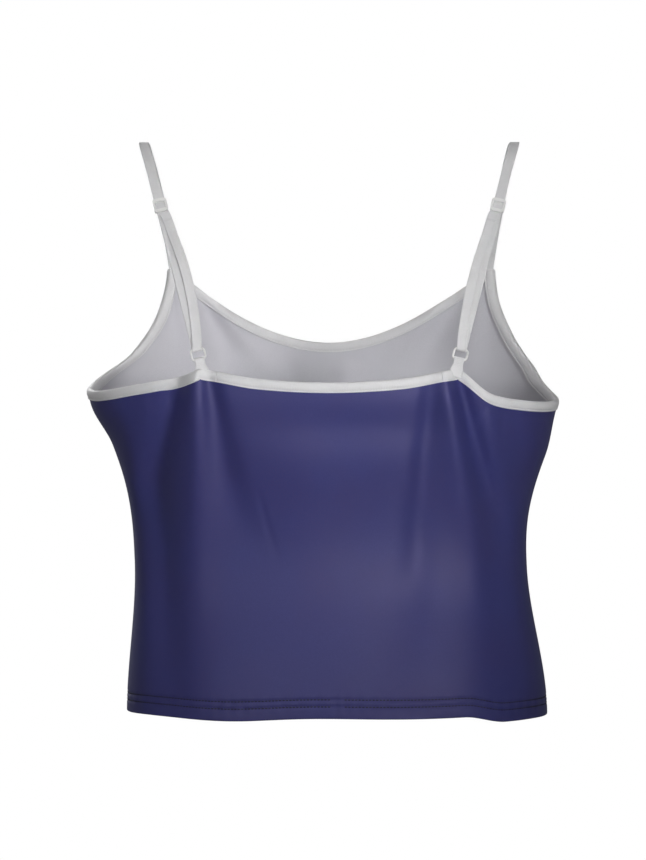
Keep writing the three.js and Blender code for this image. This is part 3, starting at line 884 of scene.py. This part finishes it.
def bump(height, strength, distance):
    inputs = {"Height": height, "Strength": strength, "Distance": distance}
    return height.node("ShaderNodeBump", inputs)


def rgba(value):
    return (*value, 1.0)


def darker(value, share):
    return tuple(part * share for part in value)


def give_relief(tree, shader, height, strength, distance=0.00012):
    give(tree, bump(height, strength, distance), shader.inputs["Normal"])


def knit_material(name, tone, patch_tone, pitch, roughness, gloss, fleck):
    """A fine stretch knit with wales along its length, mottled a little."""
    material, tree, shader = new_material(name)
    places, (across, along) = object_places(tree), cloth_places(tree)
    fine = noise(places, 1100.0)
    wales, courses = ((way * (2 * math.pi / pitch)).sine() for way in (across, along))
    # A darker, warmer patch tone is mixed in by large random noise, in patches some centimetres across.
    base = noise(places, 16.0, 3.0).between(0.36, 0.66).blend(rgba(patch_tone), rgba(tone))
    colour_mix = fine.between(0.3, 0.75).blend(rgba(darker(tone, 1 - fleck)), base)
    give(tree, colour_mix, shader.inputs["Base Color"])
    give(tree, fine * 0.14 + roughness, shader.inputs["Roughness"])
    give_relief(tree, shader, wales * 0.5 + courses * 0.3 + fine, 0.25)
    shader.inputs["Specular IOR Level"].default_value = gloss
    shader.inputs["Specular Tint"].default_value = (0.75, 0.7, 1.0, 1.0)
    return material


def webbing_material(name, tone, pitch, roughness):
    """A narrow woven or folded band: fine ribs across it and a faint grey mottle laid by random noise."""
    material, tree, shader = new_material(name)
    places = object_places(tree)
    ribs = (cloth_places(tree)[0] * (2 * math.pi / pitch)).sine()
    fine = noise(places, 900.0)
    tone_mix = noise(places, 60.0).between(0.3, 0.7).blend(rgba(darker(tone, 0.93)), rgba(tone))
    colour_mix = fine.between(0.25, 0.6).blend(rgba(darker(tone, 0.97)), tone_mix)
    give(tree, colour_mix, shader.inputs["Base Color"])
    give(tree, fine * 0.1 + roughness, shader.inputs["Roughness"])
    give_relief(tree, shader, ribs * 0.6 + fine * 0.6, 0.35)
    return material


def plain_material(name, tone, scale, detail, shade, roughness):
    """One tone with a faint mottle in its colour and its shine."""
    material, tree, shader = new_material(name)
    fine = noise(object_places(tree), scale, detail)
    give(tree, fine.blend(rgba(darker(tone, shade)), rgba(tone)), shader.inputs["Base Color"])
    give(tree, fine * 0.1 + roughness, shader.inputs["Roughness"])
    return material, tree, shader, fine


def plastic_material(name, tone):
    """Moulded plastic with a faint satin mottle."""
    material, tree, shader, fine = plain_material(name, tone, 700.0, 2.0, 0.95, 0.24)
    give_relief(tree, shader, fine, 0.08, 0.0001)
    return material


def thread_material(name, tone):
    """Sewing thread."""
    return plain_material(name, tone, 1500.0, 1.0, 0.8, 0.5)[0]


def floor_material(name, tone):
    """A pale floor that shows soft shadows."""
    material, tree, shader = new_material(name)
    shade = noise(object_places(tree), 3.0, 1.0).blend(rgba(darker(tone, 0.99)), rgba(tone))
    give(tree, shade, shader.inputs["Base Color"])
    give(tree, shade, shader.inputs["Emission Color"])
    shader.inputs["Emission Strength"].default_value = 0.72
    shader.inputs["Roughness"].default_value = 0.9
    return material


FINISHES = {}


def material_named(name):
    """The finish of that name, made once from the colours in the panel."""
    if name not in FINISHES:
        FINISHES[name] = make_material(name)
    return FINISHES[name]


def make_material(name):
    tones = bpy.context.scene.cheer_top_colours
    lining_patch_tone, white_thread = darker(tones.lining, 0.92), darker(tones.white, 0.97)
    # Knits: tone, patch tone, pitch, roughness, gloss, fleck. Bands: tone, pitch, roughness.
    makers = {
        "shell_knit": (knit_material, tones.shell, tones.shell_warm, 0.0007, 0.4, 0.45, 0.1),
        "lining_knit": (knit_material, tones.lining, lining_patch_tone, 0.0008, 0.6, 0.2, 0.03),
        "white_binding": (webbing_material, tones.white, 0.0011, 0.55),
        "strap_webbing": (webbing_material, tones.white, 0.0009, 0.5),
        "edge_elastic": (webbing_material, tones.elastic, 0.0008, 0.7),
        "white_plastic": (plastic_material, tones.plastic),
        "white_thread": (thread_material, white_thread),
        "hem_thread": (thread_material, tones.thread),
        "floor": (floor_material, tones.floor),
    }
    maker, *values = makers[name]
    return maker(name, *values)


# ---------------------------------------------------------------- operators


class PieceOperator:
    """What every operator of this file reads."""

    bl_options = {"REGISTER", "UNDO"}

    def read(self, context):
        form, cloth = context.scene.cheer_top_form, context.scene.cheer_top_cloth
        return Worn(form), cloth


class CHEERTOP_OT_panels(PieceOperator, bpy.types.Operator):
    """Outer and inner layers of the front and the back."""

    bl_idname = "cheertop.panels"
    bl_label = "Panels and linings"

    def execute(self, context):
        worn, cloth = self.read(context)
        for end, front in ENDS:
            columns = panel_columns(worn, front)
            width, heights = 2 * worn.total(front), columns[:, 2]
            step = np.abs(np.diff(columns[:, 0] * (worn.total(front) - np.abs(columns[:, 1]))))
            body = float(np.sum((heights[1:] + heights[:-1]) / 2 * step))
            tall, fold = float(heights.max()), cloth.hem_fold
            shell = panel_sheet(end + "_shell", worn, front, shell_rows(cloth), "shell_knit")
            finish_piece(shell, "garment", "shell_knit", end + "_panel")
            lining = panel_sheet(end + "_inner_layer", worn, front, lining_rows(cloth), "lining_knit")
            finish_piece(lining, "garment", "lining_knit", end + "_lining")
            outer_area, inner_area = body + width * fold, body - width * fold
        return {"FINISHED"}


class CHEERTOP_OT_edges(PieceOperator, bpy.types.Operator):
    """Folded bindings, the elastics inside them and their stitches."""

    bl_idname = "cheertop.edges"
    bl_label = "Bindings and elastics"

    def execute(self, context):
        worn, cloth = self.read(context)
        outline, middle, reach = binding_outline(cloth)
        elastic = np.array([(1, -0.3), (5.1, -0.3), (5.1, 0.3), (1, 0.3)]) * MM + (0, middle)
        paths = {"front_neck": neck_path(worn, True), "back_neck": neck_path(worn, False)}
        for name, side in SIDES:
            paths[name + "_armhole"] = armhole_path(worn, side)
        stitch_depth = middle - reach + 0.12 * MM
        faces = ((stitch_depth, 1), (2 * middle - stitch_depth, -1))
        for place, path in paths.items():
            taper = edge_taper(worn, place, path)
            band = edge_piece(place + "_band", worn, path, outline, "white_binding", taper, middle)
            finish_piece(band, "garment", "white_binding", place + "_binding")
            even = np.ones(len(path))
            inner = edge_piece(place + "_rubber", worn, path, elastic, "edge_elastic", even, middle)
            finish_piece(inner, "garment", "edge_elastic", place + "_elastic")
            rows = []
            for depth, flip in faces:
                centres, along, out = edge_row(worn, path, cloth.binding - 1.1 * MM, depth, 2.3 * MM)
                rows.append((centres, along, out * flip))
            row = stitches(place + "_stitches", *join_rows(rows), (1.7, 0.34, 0.3), "white_thread")
            finish_piece(row, "garment", "white_binding")
        return {"FINISHED"}


class CHEERTOP_OT_seams(PieceOperator, bpy.types.Operator):
    """Side seam allowances with their overlock, and the stitch rows of the hem."""

    bl_idname = "cheertop.seams"
    bl_label = "Seams and hem"

    def execute(self, context):
        worn, cloth = self.read(context)
        depth = cloth.shell + cloth.lining + 3 * cloth.gap + 0.8 * MM
        for name, side in SIDES:
            self.side_seam(worn, name, float(side), depth)
        for end, front in ENDS:
            rows = [
                row_points(worn, front, height, 2.7 * MM, 0.32 * MM)
                for height in (cloth.hem_row_low, cloth.hem_row_high)
            ]
            # The dark hem thread is drawn a little wider than the thread itself, so besides the real thread
            # it also paints the shade of the dimple round each stitch.
            row = stitches(end + "_hem_stitches", *join_rows(rows), (2.1, 1.1, 0.6), "hem_thread")
            finish_piece(row, "garment", "shell_knit")
        return {"FINISHED"}

    def side_seam(self, worn, name, side, depth):
        """A flat allowance with the thread zigzagging over it."""
        thick, wave, pitch, swing = 1.0 * MM, 0.12 * MM, 2.4 * MM, 1.3 * MM
        heights = np.linspace(2 * MM, worn.form.underarm_height - 8 * MM, 64)
        girth = np.array([-3, -2.2, -1.1, 0.01, 1.1, 2.2, 3]) * MM
        rise = wave * np.cos(girth / (1.1 * MM) * math.pi)
        girth = np.concatenate([girth, girth[::-1]])
        deep = depth + np.concatenate([-rise, thick + rise[::-1]])
        sections = np.array([worn.at(side, girth, height, deep) for height in heights])
        maps = np.stack(np.broadcast_arrays(heights[:, None], girth[None]), -1)
        seam = loft(name + "_seam_allowance", sections, "lining_knit", maps)
        finish_piece(seam, "garment", "lining_knit", name + "_side_seam")
        places = np.arange(heights[0], heights[-1], pitch)
        girths = np.where(np.arange(len(places)) % 2, swing, -swing)
        centres = worn.at(side, girths, places, depth + thick + 0.1 * MM)
        ahead = worn.at(side, -girths, places + pitch, depth + thick + 0.1 * MM)
        inner = worn.at(side, girths, places, depth + 2 * thick)
        overlock = stitches(
            name + "_overlock", centres, ahead - centres, inner - centres, (2.6, 0.4, 0.4), "white_thread"
        )
        finish_piece(overlock, "garment", "lining_knit")


class CHEERTOP_OT_straps(PieceOperator, bpy.types.Operator):
    """Straps, their turned-back strands, the turns round the rings and the ring tabs."""

    bl_idname = "cheertop.straps"
    bl_label = "Straps and tabs"

    def execute(self, context):
        worn, cloth = self.read(context)
        outline = ribbon_outline(cloth)
        for name, side in SIDES:
            plan = StrapPlan(name, side, worn, cloth)
            line = strap_line(plan)
            strap = ribbon(name + "_strap_web", line, *line_frames(line), outline, "strap_webbing")
            finish_piece(strap, None, "strap_webbing", name + "_strap")
            toward, seat = np.array([0, 0.8, 0.6]), plan.peak_seat
            seat - toward * 4 * MM
            seat + toward * 14 * MM
            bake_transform(strap)
            self.tail(plan, outline)
            self.ring_turn(plan, outline)
            self.tab(plan, outline)
        return {"FINISHED"}

    def tail(self, plan, outline):
        """The turned-back strand, and the bartack that holds its end."""
        line = tail_line(plan, np.linspace(0.12, 1, 60))
        along = unit(np.gradient(line, axis=0))
        across = unit(np.cross(plan.out, along))
        out = unit(np.cross(along, across))
        tail = ribbon(plan.name + "_tail_web", line, across, out, outline, "strap_webbing")
        finish_piece(tail, None, "strap_webbing", plan.name + "_strap_tail")
        index = int(len(line) * 0.92)
        spread = np.linspace(-2.6, 2.6, 9)[:, None] * MM
        centres = line[index] + across[index] * spread + plan.out * 0.46 * MM
        size = (2.2, 0.6, 0.34)
        tack = stitches(plan.name + "_bartack", centres, along[index], plan.out, size, "white_thread")
        finish_piece(tack, None, "strap_webbing")
        low, high = plan.upper_bar + plan.along * 14 * MM, plan.slider - plan.along * 7 * MM
        for piece in (tail, tack):
            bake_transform(piece)

    def ring_turn(self, plan, outline):
        """The webbing's turn round the ring's upper bar."""
        points, outs = loop_line(plan)
        scale = np.ones(len(points))
        scale[[0, 1, -1]] = 0.95
        loop = ribbon(
            plan.name + "_ring_turn", points, plan.across, outs, outline, "strap_webbing", scale, scale
        )
        finish_piece(loop, None, "strap_webbing")
        near, far = plan.upper_bar + plan.along * 1 * MM, plan.upper_bar + plan.along * 11 * MM
        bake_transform(loop)

    def tab(self, plan, outline):
        """The folded tab from the back binding round the ring's lower bar, and its stitches."""
        base, bar, turn = plan.tab_base, plan.lower_bar, plan.turn
        rise = bar - base
        rise = rise - plan.across * (rise @ plan.across)
        length = np.linalg.norm(rise)
        up = rise / length
        out = np.cross(up, plan.across)
        root, closed = 4 * MM, 0.55 * MM
        share = np.linspace(0, 1, 12)[:, None]
        drop = up * (length + root) * (1 - share)
        lean = out * (closed + (turn - closed) * ease(share, 0.55, 1))
        angle = np.linspace(0, math.pi, 13)[1:-1, None]
        around = up * np.sin(angle) - out * np.cos(angle)
        points = np.concatenate([bar - drop - lean, bar + around * turn, (bar - drop + lean)[::-1]])
        outs = np.concatenate([[-out] * len(share), around, [out] * len(share)])
        wide = 1 + 0.32 * ease(-(points - bar) @ up, 3 * MM, length)
        tab = ribbon(plan.name + "_tab_web", points, plan.across, outs, outline, "white_binding", wide)
        finish_piece(tab, None, "strap_webbing", plan.name + "_ring_tab")
        spread = np.linspace(-2.4, 2.4, 4)[:, None] * MM
        centres = base + up * 4.2 * MM + out * 1.05 * MM + plan.across * spread
        size = (1.3, 0.4, 0.35)
        tack = stitches(plan.name + "_tab_stitches", centres, plan.across, out, size, "white_thread")
        finish_piece(tack, None, "strap_webbing")
        for piece in (tab, tack):
            base + up * 1 * MM
            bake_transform(piece)


def settle_piece(piece, centre, x, y, z):
    """Moves a modelled piece to its place, and leaves its own origin and axes at the world's."""
    axes = Matrix((x, y, z)).transposed().to_4x4()
    piece.data.transform(Matrix.Translation(centre) @ axes)
    piece.data.update()


def dress_piece(piece, name, sharp):
    """Names a modelled fitting and gives it its shading and its plastic."""
    bpy.ops.object.shade_smooth_by_angle(angle=math.radians(sharp))
    piece.data.materials.clear()
    piece.data.materials.append(material_named("white_plastic"))
    piece.name = name


def apply_modifier(piece, name):
    select_only(piece)
    bpy.ops.object.modifier_apply(modifier=name)


def block(name, x, y, low, high):
    """A block of a width, a height and a range of depth."""
    bpy.ops.object.select_all(action="DESELECT")
    bpy.ops.mesh.primitive_cube_add(size=1, location=(0, 0, 0))
    piece = bpy.context.object
    piece.name = name
    bpy.ops.object.mode_set(mode="EDIT")
    bpy.ops.mesh.select_all(action="SELECT")
    bpy.ops.transform.resize(value=(x, y, high - low), center_override=(0, 0, 0))
    bpy.ops.transform.translate(value=(0, 0, (low + high) / 2))
    bpy.ops.object.mode_set(mode="OBJECT")
    return piece


def combine(piece, other, operation):
    cut = piece.modifiers.new("Cut", "BOOLEAN")
    cut.operation, cut.object, cut.solver = operation, other, "EXACT"
    apply_modifier(piece, "Cut")
    bpy.data.objects.remove(other)


# The moulded slider, and the ring's room for the webbing.
SLIDER_PLAY, SLIDER_FACE, SLIDER_WALL = 0.3 * MM, 1.15 * MM, 1.2 * MM
SLIDER_HEIGHT, SLIDER_WINDOW, SLIDER_BAR = 10.5 * MM, 5.6 * MM, 1.8 * MM
SLIDER_CORNER, SLIDER_ROUNDING = 2.6 * MM, 0.35 * MM
RING_PLAY, RING_SEGMENTS = 0.5 * MM, 40


class CHEERTOP_OT_fittings(PieceOperator, bpy.types.Operator):
    """Slider and ring of each strap."""

    bl_idname = "cheertop.fittings"
    bl_label = "Sliders and rings"

    def execute(self, context):
        worn, cloth = self.read(context)
        for name, side in SIDES:
            plan = StrapPlan(name, side, worn, cloth)
            slider = self.slider(name, cloth)
            settle_piece(slider, plan.slider, -plan.across, plan.along, plan.out)
            finish_piece(slider, plan.slider_body, "white_plastic", name + "_slider")
            ring = self.ring(name, cloth)
            settle_piece(ring, (plan.lower_bar + plan.upper_bar) / 2, plan.across, plan.along, -plan.out)
            finish_piece(ring, plan.ring_body, "white_plastic", name + "_ring")
        return {"FINISHED"}

    def slider(self, name, cloth):
        """A block with a window, open behind its end bars, and a centre bar behind the webbing."""
        slot = cloth.strap_thick / 2 + SLIDER_PLAY
        window, depth = cloth.strap_width + 2 * SLIDER_PLAY, slot + SLIDER_FACE
        piece = block(name + "_slider_body_web", window + 2 * SLIDER_WALL, SLIDER_HEIGHT, -depth, depth)
        bpy.ops.object.mode_set(mode="EDIT")
        bpy.ops.mesh.select_mode(type="EDGE")
        bpy.ops.mesh.select_all(action="DESELECT")
        bpy.ops.object.mode_set(mode="OBJECT")
        for edge in piece.data.edges:
            start, end = (piece.data.vertices[index].co for index in edge.vertices)
            edge.select = abs(start.z - end.z) > depth
        bpy.ops.object.mode_set(mode="EDIT")
        bpy.ops.mesh.bevel(offset=SLIDER_CORNER, segments=6, affect="EDGES")
        bpy.ops.mesh.select_mode(type="VERT")
        bpy.ops.object.mode_set(mode="OBJECT")
        beyond = 3 * depth
        combine(piece, block("window", window, SLIDER_WINDOW, -beyond, beyond), "DIFFERENCE")
        combine(piece, block("under", window, 30 * MM, -beyond, slot), "DIFFERENCE")
        centre = block("centre", window + SLIDER_WALL, SLIDER_BAR, 0.02 * MM - depth, -slot)
        combine(piece, centre, "UNION")
        round_off = piece.modifiers.new("Round", "BEVEL")
        round_off.width, round_off.segments = SLIDER_ROUNDING, 3
        round_off.limit_method = "ANGLE"
        round_off.angle_limit = math.radians(40)
        apply_modifier(piece, "Round")
        dress_piece(piece, name + "_slider_buckle", 35)
        return piece

    def ring(self, name, cloth):
        """A round wire ring pulled out into a rounded rectangle."""
        corner = cloth.ring_corner
        bpy.ops.object.select_all(action="DESELECT")
        bpy.ops.mesh.primitive_torus_add(
            major_radius=corner, minor_radius=cloth.ring_wire, major_segments=RING_SEGMENTS, minor_segments=14
        )
        piece = bpy.context.object
        bpy.ops.object.mode_set(mode="EDIT")
        bpy.ops.mesh.select_mode(type="VERT")
        bpy.ops.mesh.select_all(action="SELECT")
        bpy.ops.transform.rotate(
            value=math.pi / RING_SEGMENTS, orient_axis="Z", center_override=(0, 0, 0)
        )
        half = (cloth.strap_width / 2 + RING_PLAY + cloth.ring_wire, cloth.ring_height / 2)
        for axis in (0, 1):
            for sign in (1, -1):
                bpy.ops.mesh.select_all(action="DESELECT")
                bpy.ops.object.mode_set(mode="OBJECT")
                for vertex in piece.data.vertices:
                    vertex.select = vertex.co[axis] * sign > 0
                bpy.ops.object.mode_set(mode="EDIT")
                shift = [0, 0, 0]
                shift[axis] = sign * (half[axis] - corner)
                bpy.ops.transform.translate(value=shift)
        bpy.ops.object.mode_set(mode="OBJECT")
        dress_piece(piece, name + "_ring_wire", 60)
        return piece


# Name, place, target, size in metres, power in watts, spread in degrees and share of shine.
LIGHTS = (
    ("key_light", (-0.75, 1.5, 0.3), (0.0, 0.08, 0.25), 0.35, 0.4, 24, 0.1),
    ("front_light", (0.7, 1.9, 0.35), (0, 0, 0.2), 0.5, 8.6, 180, 0.5),
    ("top_light", (0, 0.35, 1.9), (0, -0.05, 0.25), 1.0, 3, 180, 0.3),
    ("far_light", (0.7, -1.9, 0.9), (0, 0, 0.2), 1.2, 32, 180, 0.5),
)
CAMERA_PLACE = (0.0043, 2.16, 0.198)
CAMERA_LENS, CAMERA_SENSOR = 125.6, 36
FLOOR_SIZE, FLOOR_DROP = 3, 0.42
BACKDROP, FILL = 1.0, 0.13


def area_light(name, place, target, size, power, spread, shine):
    bpy.ops.object.select_all(action="DESELECT")
    bpy.ops.object.light_add(type="AREA", location=place)
    light = bpy.context.object
    light.name = name
    light.data.size, light.data.energy, light.data.spread = size, power, math.radians(spread)
    light.data.specular_factor = shine
    light.rotation_euler = (Vector(target) - Vector(place)).to_track_quat("-Z", "Y").to_euler()
    return light


class CHEERTOP_OT_stage(PieceOperator, bpy.types.Operator):
    """Floor, light and camera."""

    bl_idname = "cheertop.stage"
    bl_label = "Stage"

    def execute(self, context):
        scene = context.scene
        bpy.ops.object.select_all(action="DESELECT")
        bpy.ops.mesh.primitive_plane_add(size=FLOOR_SIZE, location=(0, 0, -FLOOR_DROP))
        floor = context.object
        floor.name = "floor"
        floor.data.materials.append(material_named("floor"))
        floor.visible_diffuse = floor.visible_glossy = False
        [area_light(*light) for light in LIGHTS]
        world = bpy.data.worlds.new("studio")
        scene.world = world
        world.use_nodes = True
        tree = world.node_tree
        seen = Value(tree, None).node("ShaderNodeLightPath", {})
        background = tree.nodes["Background"]
        background.inputs["Color"].default_value = (1, 1, 1, 1)
        give(tree, seen * (BACKDROP - FILL) + FILL, background.inputs["Strength"])
        bpy.ops.object.camera_add(location=CAMERA_PLACE, rotation=(math.pi / 2, 0, math.pi))
        camera = context.object
        camera.data.lens, camera.data.sensor_width = CAMERA_LENS, CAMERA_SENSOR
        camera.data.clip_start, camera.data.clip_end = 0.05, 50
        scene.camera = camera
        scene.view_settings.view_transform = "Standard"
        scene.view_settings.look = "None"
        return {"FINISHED"}


class CHEERTOP_PT_sidebar(bpy.types.Panel):
    """Sizes, colours and build buttons."""

    bl_label = "Cheer top"
    bl_idname = "CHEERTOP_PT_sidebar"
    bl_space_type = "VIEW_3D"
    bl_region_type = "UI"
    bl_category = "Cheer top"

    def draw(self, context):
        layout, scene = self.layout, context.scene
        for group in (scene.cheer_top_form, scene.cheer_top_cloth, scene.cheer_top_colours):
            box = layout.box()
            for key in group.__annotations__:
                box.prop(group, key)
        for operator in OPERATORS:
            layout.operator(operator.bl_idname)


GROUPS = (CheerTopForm, CheerTopCloth, CheerTopColours)
OPERATORS = (
    CHEERTOP_OT_panels,
    CHEERTOP_OT_edges,
    CHEERTOP_OT_seams,
    CHEERTOP_OT_straps,
    CHEERTOP_OT_fittings,
    CHEERTOP_OT_stage,
)


def register():
    for item in (*GROUPS, *OPERATORS, CHEERTOP_PT_sidebar):
        bpy.utils.register_class(item)
    bpy.types.Scene.cheer_top_form = bpy.props.PointerProperty(type=CheerTopForm)
    bpy.types.Scene.cheer_top_cloth = bpy.props.PointerProperty(type=CheerTopCloth)
    bpy.types.Scene.cheer_top_colours = bpy.props.PointerProperty(type=CheerTopColours)


def unregister():
    del bpy.types.Scene.cheer_top_colours, bpy.types.Scene.cheer_top_cloth, bpy.types.Scene.cheer_top_form
    for item in reversed((*GROUPS, *OPERATORS, CHEERTOP_PT_sidebar)):
        bpy.utils.unregister_class(item)


def main():
    """Builds every piece."""
    register()
    bpy.ops.cheertop.panels()
    bpy.ops.cheertop.edges()
    bpy.ops.cheertop.seams()
    bpy.ops.cheertop.straps()
    bpy.ops.cheertop.fittings()
    bpy.ops.cheertop.stage()


if __name__ == "__main__":
    main()
